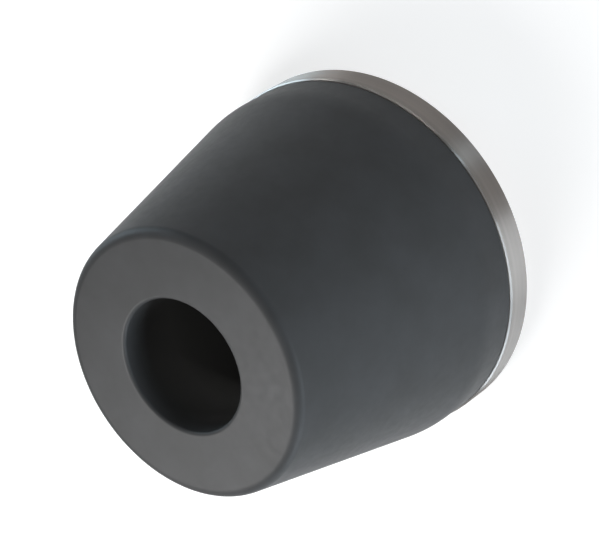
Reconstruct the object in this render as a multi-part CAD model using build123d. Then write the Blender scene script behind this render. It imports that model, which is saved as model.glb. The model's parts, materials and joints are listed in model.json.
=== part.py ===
"""Conical rubber damper on a round steel plate, in millimetres.

The damper is bolted to a machine or a frame by a screw that passes through
the plate, with its head down in the rubber's bore. The origin is the centre
of the plate's underside, and +Z runs along the axis to the striking face.
"""

from build123d import *

import os

# Screw that holds the damper, and the washer under its head in the bore
SCREW_DIAMETER = 8.0
WASHER_DIAMETER = 16.0

# Steel plate
PLATE_DIAMETER = 50.0
PLATE_THICKNESS = 4.0
PLATE_EDGE_BREAK = 0.2
SCREW_CLEARANCE = 0.5

# Rubber body
TOTAL_HEIGHT = 41.0
PLATE_LEDGE = 0.25
BAND_HEIGHT = 5.5
BAND_BLEND_RADIUS = 15.0
FACE_DIAMETER = 36.0
FACE_EDGE_RADIUS = 1.5
FOOT_EDGE_RADIUS = 0.3
BORE_CLEARANCE = 1.0
BORE_MOUTH_RADIUS = 0.5

# What follows from the sizes above
SCREW_HOLE_RADIUS = SCREW_DIAMETER / 2 + SCREW_CLEARANCE
BAND_RADIUS = PLATE_DIAMETER / 2 - PLATE_LEDGE
FACE_RADIUS = FACE_DIAMETER / 2
BORE_RADIUS = WASHER_DIAMETER / 2 + BORE_CLEARANCE
BAND_TOP = PLATE_THICKNESS + BAND_HEIGHT


def ring_edge(part, radius, height):
    """The one circular edge of a turned part that has this radius and height."""
    circles = part.edges().filter_by(GeomType.CIRCLE)
    return circles.sort_by(lambda edge: abs(edge.radius - radius) + abs(edge.center().Z - height))[0]


def base_plate():
    """Flat steel disc with a clearance hole for the screw, and its four edges broken."""
    with BuildPart() as plate:
        Cylinder(
            radius=PLATE_DIAMETER / 2,
            height=PLATE_THICKNESS,
            align=(Align.CENTER, Align.CENTER, Align.MIN),
        )
        Hole(radius=SCREW_HOLE_RADIUS)
        chamfer(plate.edges().filter_by(GeomType.CIRCLE), length=PLATE_EDGE_BREAK)
    return plate.part


def rubber_body():
    """Rubber moulded on the plate: a short straight band, then a cone up to the striking face."""
    with BuildPart() as body:
        with BuildSketch(Plane.XZ):
            with BuildLine():
                Polyline(
                    (BORE_RADIUS, PLATE_THICKNESS),
                    (BAND_RADIUS, PLATE_THICKNESS),
                    (BAND_RADIUS, BAND_TOP),
                    (FACE_RADIUS, TOTAL_HEIGHT),
                    (BORE_RADIUS, TOTAL_HEIGHT),
                    close=True,
                )
            make_face()
        revolve(axis=Axis.Z)
        fillet(ring_edge(body, BAND_RADIUS, BAND_TOP), radius=BAND_BLEND_RADIUS)
        fillet(ring_edge(body, BAND_RADIUS, PLATE_THICKNESS), radius=FOOT_EDGE_RADIUS)
        fillet(ring_edge(body, FACE_RADIUS, TOTAL_HEIGHT), radius=FACE_EDGE_RADIUS)
        fillet(ring_edge(body, BORE_RADIUS, TOTAL_HEIGHT), radius=BORE_MOUTH_RADIUS)
    return body.part


def main():
    """Write one STEP file for each piece."""
    os.makedirs("parts", exist_ok=True)
    export_step(base_plate(), "parts/base_plate.step")
    export_step(rubber_body(), "parts/rubber_body.step")


if __name__ == "__main__":
    main()
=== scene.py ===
"""Conical rubber damper on its steel plate, with a pale floor and soft studio light.

Lengths are in metres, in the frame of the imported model: the origin is the
centre of the plate's underside, and +Z runs along the damper's axis.
"""

import json
import math

import bpy
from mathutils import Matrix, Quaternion, Vector


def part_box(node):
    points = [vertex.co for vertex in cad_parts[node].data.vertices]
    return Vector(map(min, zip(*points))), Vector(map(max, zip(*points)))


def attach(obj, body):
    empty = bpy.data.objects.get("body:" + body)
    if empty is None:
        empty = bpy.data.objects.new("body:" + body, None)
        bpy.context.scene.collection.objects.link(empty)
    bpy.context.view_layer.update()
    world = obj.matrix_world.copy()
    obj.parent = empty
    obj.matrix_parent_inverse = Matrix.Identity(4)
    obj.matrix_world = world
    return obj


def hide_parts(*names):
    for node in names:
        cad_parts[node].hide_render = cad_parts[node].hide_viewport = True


bl_info = {
    "name": "Rubber damper",
    "version": (1, 0, 0),
    "blender": (4, 5, 0),
    "location": "3D View > Sidebar > Damper",
    "description": "Builds a conical rubber damper on a steel plate, and a plain studio round it",
    "category": "Object",
}

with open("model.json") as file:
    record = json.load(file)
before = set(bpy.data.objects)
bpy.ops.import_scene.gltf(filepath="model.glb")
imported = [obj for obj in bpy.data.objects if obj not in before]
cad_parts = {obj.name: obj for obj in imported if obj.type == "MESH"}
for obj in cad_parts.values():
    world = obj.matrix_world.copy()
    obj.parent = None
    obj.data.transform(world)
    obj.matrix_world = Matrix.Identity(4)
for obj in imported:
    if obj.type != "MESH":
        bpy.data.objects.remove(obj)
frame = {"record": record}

MM = 0.001
BODY = "root"
RUBBER_NODE = "rubber_body"
PLATE_NODE = "base_plate"

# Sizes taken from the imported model
RUBBER_LOW, RUBBER_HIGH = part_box(RUBBER_NODE)
PLATE_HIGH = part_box(PLATE_NODE)[1]
MOUNTS = {mount["name"]: mount for mount in frame["record"]["mounts"]}
BORE_RADIUS = MOUNTS["head_bore"]["dims"]["r_mm"] * MM
HOLE_RADIUS = MOUNTS["screw_hole"]["dims"]["r_mm"] * MM

# How finely the turned pieces are divided, and where their shading breaks
TURN_STEPS = 256
ROUNDING_STEPS = 14
CHAMFER_STEPS = 1
WELD_DISTANCE = 1e-7
CREASE_ANGLE = math.radians(30)

# The middle of a noise's range, which most patterns stretch
NOISE_MIDDLE = (0.3, 0.7)

# Finish of the rubber. The scale of a noise is in spots per metre, here and below.
BLOOM_SCALE = 180.0
BLOOM_RANGE = (0.35, 0.75)
SHINE_SCALE = 900.0
RUBBER_ROUGHNESS = (0.47, 0.53)
RUBBER_SPECULAR = 0.158
UNEVEN_SCALE = 350.0
UNEVEN_DEPTH = 0.05 * MM
UNEVEN_STRENGTH = 0.15
GRAIN_SCALE = 9000.0
GRAIN_DEPTH = 0.01 * MM
GRAIN_STRENGTH = 0.25

# Painted light in the bore, a paler colour deep inside that stands in for light reaching it: where it
# is full and where it ends, below the striking face
BORE_LIGHT_FULL = 9.0 * MM
BORE_LIGHT_END = 2.5 * MM
BORE_MARGIN = 0.05 * MM

# Finish of the steel. The last number is a quarter turn, which lays its sheen along the rings.
RING_SCALE = 9000.0
WIDE_RING_SCALE = 1500.0
WIDE_RING_RANGE = (0.35, 0.7)
RING_DRIFT_SCALE = 60.0
RING_DRIFT = 0.4 * MM
STEEL_ROUGHNESS = (0.48, 0.56)
GROOVE_DEPTH = 0.01 * MM
GROOVE_STRENGTH = 0.3
EDGE_POLISH = 0.18
EDGE_SOFTNESS = 0.1
SHEEN_TURN = 0.25

# Stage. The sensor and the focal length are in millimetres.
FLOOR_ROUGHNESS = 0.9
FLOOR_SPECULAR = 0.1
SURROUND_STRENGTH = 0.045
SENSOR_WIDTH = 36.0
FOCAL_LENGTH = 142.4
CLIP_START = 0.01
CLIP_END = 50.0
CAMERA_TARGET = Vector((1.08 * MM, 0.0, 14.96 * MM))
LAMP_TARGET = Vector((0.0, 0.0, 20.0 * MM))
LAMP_DISTANCE = 0.8
NEAR_DISTANCE = 0.145
WHITE = (1.0, 1.0, 1.0)
COOL = (0.8, 0.91, 1.0)
COOLER = (0.7, 0.88, 1.0)

# Lamps: name, azimuth and elevation in degrees, distance, width, height, power in watts and tint
LAMPS = (
    ("back", 199, 58, NEAR_DISTANCE, 0.06, 0.06, 0.23, WHITE),
    ("side", 270, 4, LAMP_DISTANCE, 0.72, 0.31, 5.6, COOL),
    ("front_side", 315, 4, LAMP_DISTANCE, 0.58, 0.31, 6.0, COOL),
    ("edge", 120, 4, LAMP_DISTANCE, 0.45, 0.31, 4.1, COOLER),
    ("streak", 12, 4, LAMP_DISTANCE, 0.12, 0.31, 0.78, COOLER),
    ("front", 330, 45, LAMP_DISTANCE, 1.0, 1.0, 1.07, WHITE),
    ("rim_strip", 60, 38, LAMP_DISTANCE, 0.7, 0.03, 0.7, WHITE),
    ("rim_spot", 98, 20, LAMP_DISTANCE, 0.15, 0.03, 0.41, WHITE),
    ("top", 0, 90, LAMP_DISTANCE, 1.0, 1.0, 0.7, WHITE),
)


def length(name, description, default):
    """A size in metres that the user can change."""
    return bpy.props.FloatProperty(
        name=name,
        description=description,
        default=default,
        min=0.0,
        precision=5,
        unit="LENGTH",
    )


def angle(name, description, degrees):
    """An angle that the user can change."""
    return bpy.props.FloatProperty(
        name=name,
        description=description,
        default=math.radians(degrees),
        subtype="ANGLE",
    )


def share(name, description, default):
    """A number from 0 to 1 that the user can change."""
    return bpy.props.FloatProperty(
        name=name,
        description=description,
        default=default,
        min=0.0,
        max=1.0,
    )


def colour(name, description, default):
    """A linear colour that the user can change."""
    return bpy.props.FloatVectorProperty(
        name=name,
        description=description,
        default=default,
        size=3,
        min=0.0,
        max=1.0,
        subtype="COLOR",
    )


class RubberSettings(bpy.types.PropertyGroup):
    """Sizes and colours of the rubber body."""

    band_radius: length("Band radius", "Radius of the straight band at the plate", RUBBER_HIGH.x)
    band_height: length("Band height", "Height of the straight band", 5.5 * MM)
    band_blend: length("Band blend", "Radius of the turn from the band into the cone", 15.0 * MM)
    face_radius: length("Face radius", "Radius of the striking face, to its corner", 18.0 * MM)
    face_edge: length("Face edge", "Radius of the striking face's rounded edge", 1.5 * MM)
    bore_radius: length("Bore radius", "Radius of the bore", BORE_RADIUS)
    bore_mouth: length("Bore mouth", "Radius of the rounded mouth of the bore", 0.5 * MM)
    foot_edge: length("Foot edge", "Radius of the rounded edge at the plate", 0.3 * MM)
    shade: colour("Rubber", "Colour of the black rubber", (0.0366, 0.0366, 0.0366))
    bloom: colour("Bloom", "Colour of the faint grey bloom", (0.0444, 0.0444, 0.0456))
    # Painted light: a paler colour deep in the bore, standing in for light that reaches it
    painted_bore_light: colour("Powder", "Colour of the mould powder in the bore", (0.094, 0.093, 0.09))


class PlateSettings(bpy.types.PropertyGroup):
    """Sizes and colours of the steel plate."""

    radius: length("Radius", "Radius of the plate", PLATE_HIGH.x)
    thickness: length("Thickness", "Thickness of the plate", PLATE_HIGH.z)
    edge_break: length("Edge break", "Size of the broken edges", 0.2 * MM)
    hole_radius: length("Hole radius", "Radius of the screw hole", HOLE_RADIUS)
    steel: colour("Steel", "Colour of the turned steel", (0.345, 0.315, 0.293))
    dull: colour("Dull steel", "Colour of the duller streaks", (0.31, 0.284, 0.266))
    bright: colour("Bright steel", "Colour of the burnished edges", (0.397, 0.38, 0.365))


class StageSettings(bpy.types.PropertyGroup):
    """The floor and the camera."""

    floor_radius: length("Floor radius", "Half the width of the pale floor", 3.0)
    floor_shade: colour("Floor", "Colour of the floor", (0.45, 0.45, 0.45))
    floor_white: share("Floor white", "Share of white that the floor always shows", 0.67)
    distance: length("Distance", "From the camera to the point it looks at", 311.0 * MM)
    elevation: angle("Elevation", "Camera's height over the floor", 45.86)
    roll: angle("Roll", "Camera's turn about its line of sight", -122.7)


def set_inputs(tree, node, inputs):
    """Links each input that is given as a socket, and sets the others."""
    for name, value in inputs.items():
        if isinstance(value, bpy.types.NodeSocket):
            tree.links.new(value, node.inputs[name])
        else:
            node.inputs[name].default_value = value


def add_node(tree, kind, inputs=None, **settings):
    """A new node with its settings, and then its inputs."""
    node = tree.nodes.new(kind)
    for name, value in settings.items():
        setattr(node, name, value)
    set_inputs(tree, node, inputs or {})
    return node


def add_math(tree, operation, first, second=0.0):
    """The result of one sum on two numbers or sockets."""
    node = add_node(tree, "ShaderNodeMath", {0: first, 1: second}, operation=operation)
    return node.outputs[0]


def add_object(name, data):
    """A new object in the scene."""
    item = bpy.data.objects.new(name, data)
    bpy.context.scene.collection.objects.link(item)
    return item


def chosen_by_corner(tree, data_type, values):
    """A field that gives each corner of the outline, counted from 0, its own value."""
    index = add_node(tree, "GeometryNodeInputIndex").outputs[0]
    switch = add_node(tree, "GeometryNodeIndexSwitch", data_type=data_type)
    while len(switch.index_switch_items) < len(values):
        switch.index_switch_items.new()
    by_number = {str(number): value for number, value in enumerate(values)}
    set_inputs(tree, switch, {"Index": index, **by_number})
    return switch.outputs[0]


def turned_inputs(name, sizes):
    """A new tree for a turned piece, with its named inputs and its one output."""
    tree = bpy.data.node_groups.new(name, "GeometryNodeTree")
    kinds = [(size, "NodeSocketFloat") for size in sizes]
    kinds += [("Rounding steps", "NodeSocketInt"), ("Turn steps", "NodeSocketInt")]
    kinds += [("Material", "NodeSocketMaterial")]
    tree.interface.new_socket(name="Geometry", in_out="OUTPUT", socket_type="NodeSocketGeometry")
    for label, kind in kinds:
        given = tree.interface.new_socket(name=label, in_out="INPUT", socket_type=kind)
        if label in sizes:
            given.subtype = "DISTANCE"
    return tree


def add_outline(tree, given, corners):
    """The rounded outline of a section, as a closed curve that starts at its first corner's radius."""

    def size(name):
        return given[name] if name else 0.0

    places = []
    for radius, height, _ in corners:
        across = add_math(tree, "SUBTRACT", given[radius], given[corners[0][0]])
        down = add_math(tree, "MULTIPLY", size(height), -1.0)
        places.append(add_node(tree, "ShaderNodeCombineXYZ", {"X": across, "Y": down}).outputs[0])
    place = chosen_by_corner(tree, "VECTOR", places)
    points = add_node(tree, "GeometryNodePoints", {"Count": len(corners), "Position": place})
    outline = add_node(tree, "GeometryNodePointsToCurves", {"Points": points.outputs[0]})
    closed = add_node(
        tree,
        "GeometryNodeSetSplineCyclic",
        {"Geometry": outline.outputs[0], "Cyclic": True},
    )
    rounding = chosen_by_corner(tree, "FLOAT", [size(corner[2]) for corner in corners])
    rounded = add_node(
        tree,
        "GeometryNodeFilletCurve",
        {"Curve": closed.outputs[0], "Count": given["Rounding steps"], "Radius": rounding},
        mode="POLY",
    )
    return rounded.outputs[0]


def turned_tree(name, sizes, corners):
    """Geometry Nodes that turn a closed outline about the Z axis.

    sizes names the tree's inputs. Each corner of the outline is (radius, height, rounding),
    each one the name of an input, or 0. The outline runs round the section with its inside
    on the left.
    """
    tree = turned_inputs(name, sizes)
    given = add_node(tree, "NodeGroupInput").outputs
    outline = add_outline(tree, given, corners)
    circle = add_node(
        tree,
        "GeometryNodeCurvePrimitiveCircle",
        {"Resolution": given["Turn steps"], "Radius": given[corners[0][0]]},
    )
    turned = add_node(
        tree,
        "GeometryNodeCurveToMesh",
        {"Curve": circle.outputs[0], "Profile Curve": outline},
    )
    welded = add_node(
        tree,
        "GeometryNodeMergeByDistance",
        {"Geometry": turned.outputs[0], "Distance": WELD_DISTANCE},
    )
    smooth = add_node(tree, "GeometryNodeSetShadeSmooth", {"Geometry": welded.outputs[0]})
    turn = add_node(tree, "GeometryNodeInputMeshEdgeAngle").outputs["Unsigned Angle"]
    gentle = add_math(tree, "LESS_THAN", turn, CREASE_ANGLE)
    creased = add_node(
        tree,
        "GeometryNodeSetShadeSmooth",
        {"Geometry": smooth.outputs[0], "Shade Smooth": gentle},
        domain="EDGE",
    )
    real = add_node(tree, "GeometryNodeRealizeInstances", {"Geometry": creased.outputs[0]})
    painted = add_node(
        tree,
        "GeometryNodeSetMaterial",
        {"Geometry": real.outputs[0], "Material": given["Material"]},
    )
    add_node(tree, "NodeGroupOutput", {"Geometry": painted.outputs[0]})
    return tree


def turned_piece(name, tree, values):
    """A plain mesh object from a tree of turned_tree and the values of its inputs."""
    host = add_object(name + "_host", bpy.data.meshes.new(name + "_host"))
    turning = host.modifiers.new("Turning", "NODES")
    turning.node_group = tree
    identifiers = {
        item.name: item.identifier
        for item in tree.interface.items_tree
        if item.item_type == "SOCKET" and item.in_out == "INPUT"
    }
    for label, value in values.items():
        turning[identifiers[label]] = value
    host.modifiers.new("Even shading", "WEIGHTED_NORMAL").keep_sharp = True
    evaluated = host.evaluated_get(bpy.context.evaluated_depsgraph_get())
    mesh = bpy.data.meshes.new_from_object(evaluated)
    mesh.name = name
    bpy.data.objects.remove(host)
    return add_object(name, mesh)


def new_material(name):
    """A material with its tree, which holds only a Principled shader and the output."""
    material = bpy.data.materials.new(name)
    material.use_nodes = True
    tree = material.node_tree
    tree.nodes.clear()
    shader = add_node(tree, "ShaderNodeBsdfPrincipled")
    add_node(tree, "ShaderNodeOutputMaterial", {"Surface": shader.outputs[0]})
    return material, tree, shader


def opaque(shade):
    """A linear colour as a socket takes it, with an alpha of 1."""
    return (*shade, 1.0)


def noise(tree, vector, scale, detail=2.0, roughness=0.5):
    """Plain noise between 0 and 1."""
    node = add_node(
        tree,
        "ShaderNodeTexNoise",
        {"Vector": vector, "Scale": scale, "Detail": detail, "Roughness": roughness},
    )
    return node.outputs[0]


def spread(tree, value, given, wanted=(0.0, 1.0)):
    """value stretched from the range given to the range wanted, and held there."""
    node = add_node(
        tree,
        "ShaderNodeMapRange",
        {
            "Value": value,
            "From Min": given[0],
            "From Max": given[1],
            "To Min": wanted[0],
            "To Max": wanted[1],
        },
    )
    return node.outputs[0]


def mix_colours(tree, factor, first, second):
    """A mix of two colours, from the first at 0 to the second at 1."""
    inputs = {"Factor": factor, "A": first, "B": second}
    return add_node(tree, "ShaderNodeMix", inputs, data_type="RGBA").outputs["Result"]


def add_bump(tree, height, strength, depth, **inputs):
    """A normal that is bent by a height."""
    inputs = {"Height": height, "Strength": strength, "Distance": depth, **inputs}
    return add_node(tree, "ShaderNodeBump", inputs).outputs[0]


def turned_place(tree):
    """A point of a turned piece, with its distance from the Z axis and its height."""
    place = add_node(tree, "ShaderNodeTexCoord").outputs["Object"]
    split = add_node(tree, "ShaderNodeSeparateXYZ", {"Vector": place}).outputs
    flat = add_node(tree, "ShaderNodeCombineXYZ", {"X": split["X"], "Y": split["Y"]}).outputs[0]
    radius = add_node(tree, "ShaderNodeVectorMath", {0: flat}, operation="LENGTH").outputs["Value"]
    return place, radius, split["Z"]


def powder_share(tree, settings, radius, height):
    """The share of painted light on the rubber, a paler colour that stands in for light deep in the
    bore: 1 deep in the bore and 0 outside it.
    """
    in_bore = add_math(tree, "LESS_THAN", radius, settings.bore_radius + BORE_MARGIN)
    depths = (RUBBER_HIGH.z - BORE_LIGHT_FULL, RUBBER_HIGH.z - BORE_LIGHT_END)
    return add_math(tree, "MULTIPLY", in_bore, spread(tree, height, depths, (1.0, 0.0)))


def rubber_material(settings):
    """Matte black rubber as it leaves the mould: a fine grain, a soft unevenness, a faint bloom, and
    painted light that makes the bore paler deep inside.
    """
    material, tree, shader = new_material("black_rubber")
    place, radius, height = turned_place(tree)
    clouds = noise(tree, place, BLOOM_SCALE, detail=4.0, roughness=0.6)
    bloom = spread(tree, clouds, BLOOM_RANGE)
    bloomed = mix_colours(tree, bloom, opaque(settings.shade), opaque(settings.bloom))
    # Painted light: deep in the bore the colour is made paler, standing in for light that reaches it
    painted_bore_light = powder_share(tree, settings, radius, height)
    patches = noise(tree, place, SHINE_SCALE, detail=3.0)
    satin = spread(tree, patches, NOISE_MIDDLE, RUBBER_ROUGHNESS)
    grain = noise(tree, place, GRAIN_SCALE)
    uneven = noise(tree, place, UNEVEN_SCALE)
    soft = add_bump(tree, uneven, UNEVEN_STRENGTH, UNEVEN_DEPTH)
    finish = {
        "Base Color": mix_colours(tree, painted_bore_light, bloomed, opaque(settings.painted_bore_light)),
        "Roughness": satin,
        "Specular IOR Level": RUBBER_SPECULAR,
        "Normal": add_bump(tree, grain, GRAIN_STRENGTH, GRAIN_DEPTH, Normal=soft),
    }
    set_inputs(tree, shader, finish)
    return material


def worn_share(tree, settings, radius, height):
    """The share of wear on the steel, which is 1 on its broken edges and 0 elsewhere."""
    to_side = add_math(tree, "ABSOLUTE", add_math(tree, "SUBTRACT", radius, settings.radius))
    to_hole = add_math(tree, "ABSOLUTE", add_math(tree, "SUBTRACT", radius, settings.hole_radius))
    to_top = add_math(tree, "SUBTRACT", settings.thickness, height)
    to_wall = add_math(tree, "MINIMUM", to_side, to_hole)
    to_face = add_math(tree, "MINIMUM", to_top, height)
    to_edge = add_math(tree, "MAXIMUM", to_wall, to_face)
    inner = (1.0 - EDGE_SOFTNESS) * settings.edge_break
    outer = (1.0 + EDGE_SOFTNESS) * settings.edge_break
    return spread(tree, to_edge, (inner, outer), (1.0, 0.0))


def steel_material(settings):
    """Satin steel turned on a lathe: fine rings round the axis, on the faces and on the edge."""
    material, tree, shader = new_material("turned_steel")
    place, radius, height = turned_place(tree)
    drift = add_math(tree, "MULTIPLY", noise(tree, place, RING_DRIFT_SCALE), RING_DRIFT)
    ring_inputs = {"X": radius, "Y": height, "Z": drift}
    ring_place = add_node(tree, "ShaderNodeCombineXYZ", ring_inputs).outputs[0]
    rings = noise(tree, ring_place, RING_SCALE, detail=3.0, roughness=0.7)
    wide_rings = spread(tree, noise(tree, ring_place, WIDE_RING_SCALE), WIDE_RING_RANGE)
    streaked = mix_colours(tree, wide_rings, opaque(settings.steel), opaque(settings.dull))
    worn = worn_share(tree, settings, radius, height)
    satin = spread(tree, rings, NOISE_MIDDLE, STEEL_ROUGHNESS)
    polish = add_math(tree, "MULTIPLY", worn, EDGE_POLISH)
    round_axis = add_node(tree, "ShaderNodeTangent", direction_type="RADIAL", axis="Z").outputs[0]
    groove_strength = spread(tree, worn, (0.0, 1.0), (GROOVE_STRENGTH, 0.0))
    finish = {
        "Base Color": mix_colours(tree, worn, streaked, opaque(settings.bright)),
        "Metallic": 1.0,
        "Roughness": add_math(tree, "SUBTRACT", satin, polish),
        "Anisotropic": 1.0,
        "Anisotropic Rotation": SHEEN_TURN,
        "Tangent": round_axis,
        "Normal": add_bump(tree, rings, groove_strength, GROOVE_DEPTH),
    }
    set_inputs(tree, shader, finish)
    return material


class DAMPER_OT_rubber_body(bpy.types.Operator):
    """Turns the rubber body: band, cone, rounded striking face and bore"""

    bl_idname = "damper.rubber_body"
    bl_label = "Rubber body"

    def execute(self, context):
        rubber = context.scene.damper_rubber
        sizes = {
            "Bore radius": rubber.bore_radius,
            "Band radius": rubber.band_radius,
            "Face radius": rubber.face_radius,
            "Foot height": RUBBER_LOW.z,
            "Band top": RUBBER_LOW.z + rubber.band_height,
            "Face height": RUBBER_HIGH.z,
            "Band blend": rubber.band_blend,
            "Face edge": rubber.face_edge,
            "Bore mouth": rubber.bore_mouth,
            "Foot edge": rubber.foot_edge,
        }
        corners = [
            ("Bore radius", "Foot height", 0),
            ("Band radius", "Foot height", "Foot edge"),
            ("Band radius", "Band top", "Band blend"),
            ("Face radius", "Face height", "Face edge"),
            ("Bore radius", "Face height", "Bore mouth"),
        ]
        values = {
            **sizes,
            "Rounding steps": ROUNDING_STEPS,
            "Turn steps": TURN_STEPS,
            "Material": rubber_material(rubber),
        }
        tree = turned_tree("Turned rubber", sizes, corners)
        piece = turned_piece("rubber_moulding", tree, values)
        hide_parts(RUBBER_NODE)
        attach(piece, BODY)
        return {"FINISHED"}


class DAMPER_OT_base_plate(bpy.types.Operator):
    """Turns the steel plate with its screw hole and broken edges"""

    bl_idname = "damper.base_plate"
    bl_label = "Steel plate"

    def execute(self, context):
        plate = context.scene.damper_plate
        sizes = {
            "Hole radius": plate.hole_radius,
            "Plate radius": plate.radius,
            "Thickness": plate.thickness,
            "Edge break": plate.edge_break,
        }
        corners = [
            ("Hole radius", 0, "Edge break"),
            ("Plate radius", 0, "Edge break"),
            ("Plate radius", "Thickness", "Edge break"),
            ("Hole radius", "Thickness", "Edge break"),
        ]
        values = {
            **sizes,
            "Rounding steps": CHAMFER_STEPS,
            "Turn steps": TURN_STEPS,
            "Material": steel_material(plate),
        }
        tree = turned_tree("Turned plate", sizes, corners)
        piece = turned_piece("steel_plate", tree, values)
        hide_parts(PLATE_NODE)
        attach(piece, BODY)
        return {"FINISHED"}


def add_floor(settings):
    """A pale floor under the plate, which the camera and reflections see as nearly white."""
    mesh = bpy.data.meshes.new("floor")
    half = settings.floor_radius
    corners = [(-half, -half, 0), (half, -half, 0), (half, half, 0), (-half, half, 0)]
    mesh.from_pydata(corners, [], [(0, 1, 2, 3)])
    floor = add_object("floor", mesh)
    material, tree, shader = new_material("pale_floor")
    path = add_node(tree, "ShaderNodeLightPath").outputs
    seen = add_math(tree, "MAXIMUM", path["Is Camera Ray"], path["Is Glossy Ray"])
    seen = add_math(tree, "MAXIMUM", seen, path["Is Transmission Ray"])
    finish = {
        "Base Color": opaque(settings.floor_shade),
        "Roughness": FLOOR_ROUGHNESS,
        "Specular IOR Level": FLOOR_SPECULAR,
        "Emission Color": opaque(WHITE),
        "Emission Strength": add_math(tree, "MULTIPLY", seen, settings.floor_white),
    }
    set_inputs(tree, shader, finish)
    mesh.materials.append(material)


def direction(azimuth, elevation):
    """The direction from the damper to a camera or lamp; azimuth 0 is the camera's side, -Y."""
    across = math.cos(elevation)
    return Vector((math.sin(azimuth) * across, -math.cos(azimuth) * across, math.sin(elevation)))


def add_lamp(name, azimuth, elevation, distance, width, height, power, tint):
    """A soft lamp that faces the damper."""
    data = bpy.data.lights.new(name, "AREA")
    data.shape = "RECTANGLE"
    data.size = width
    data.size_y = height
    data.energy = power
    data.color = tint
    lamp = add_object(name, data)
    back = direction(math.radians(azimuth), math.radians(elevation))
    lamp.location = LAMP_TARGET + back * distance
    lamp.rotation_euler = (-back).to_track_quat("-Z", "Y").to_euler()
    lamp.visible_camera = False


def add_camera(settings):
    """The camera over the striking face, rolled so that the axis runs to the lower left."""
    data = bpy.data.cameras.new("camera")
    data.sensor_width = SENSOR_WIDTH
    data.lens = FOCAL_LENGTH
    data.clip_start = CLIP_START
    data.clip_end = CLIP_END
    camera = add_object("camera", data)
    back = direction(0.0, settings.elevation)
    roll = Quaternion((0, 0, 1), settings.roll)
    camera.location = CAMERA_TARGET + back * settings.distance
    camera.rotation_mode = "QUATERNION"
    camera.rotation_quaternion = (-back).to_track_quat("-Z", "Y") @ roll
    bpy.context.scene.camera = camera


def add_world(strength):
    """A plain dim white surround."""
    world = bpy.data.worlds.new("surround")
    bpy.context.scene.world = world
    world.use_nodes = True
    tree = world.node_tree
    tree.nodes.clear()
    inputs = {"Color": opaque(WHITE), "Strength": strength}
    light = add_node(tree, "ShaderNodeBackground", inputs)
    add_node(tree, "ShaderNodeOutputWorld", {"Surface": light.outputs[0]})


class DAMPER_OT_stage(bpy.types.Operator):
    """Makes the floor, the surround, the lamps and the camera"""

    bl_idname = "damper.stage"
    bl_label = "Stage"

    def execute(self, context):
        stage = context.scene.damper_stage
        add_floor(stage)
        add_world(SURROUND_STRENGTH)
        for lamp in LAMPS:
            add_lamp(*lamp)
        add_camera(stage)
        context.scene.view_settings.view_transform = "Standard"
        return {"FINISHED"}


class DAMPER_PT_panel(bpy.types.Panel):
    """Lists the damper's pieces and its stage"""

    bl_idname = "DAMPER_PT_panel"
    bl_label = "Rubber damper"
    bl_space_type = "VIEW_3D"
    bl_region_type = "UI"
    bl_category = "Damper"

    def draw(self, context):
        for settings, operator in (
            (context.scene.damper_rubber, DAMPER_OT_rubber_body),
            (context.scene.damper_plate, DAMPER_OT_base_plate),
            (context.scene.damper_stage, DAMPER_OT_stage),
        ):
            box = self.layout.box()
            for name in settings.bl_rna.properties.keys():
                if name not in ("rna_type", "name"):
                    box.prop(settings, name)
            box.operator(operator.bl_idname)


CLASSES = (
    RubberSettings,
    PlateSettings,
    StageSettings,
    DAMPER_OT_rubber_body,
    DAMPER_OT_base_plate,
    DAMPER_OT_stage,
    DAMPER_PT_panel,
)
SETTINGS = {
    "damper_rubber": RubberSettings,
    "damper_plate": PlateSettings,
    "damper_stage": StageSettings,
}


def register():
    """Adds the classes, and the settings on the scene."""
    for item in CLASSES:
        bpy.utils.register_class(item)
    for name, group in SETTINGS.items():
        setattr(bpy.types.Scene, name, bpy.props.PointerProperty(type=group))


def unregister():
    """Takes out what register adds."""
    for name in SETTINGS:
        delattr(bpy.types.Scene, name)
    for item in reversed(CLASSES):
        bpy.utils.unregister_class(item)


def main():
    """Builds the damper and its stage."""
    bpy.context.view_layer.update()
    register()
    bpy.ops.damper.rubber_body()
    bpy.ops.damper.base_plate()
    bpy.ops.damper.stage()


if __name__ == "__main__":
    main()
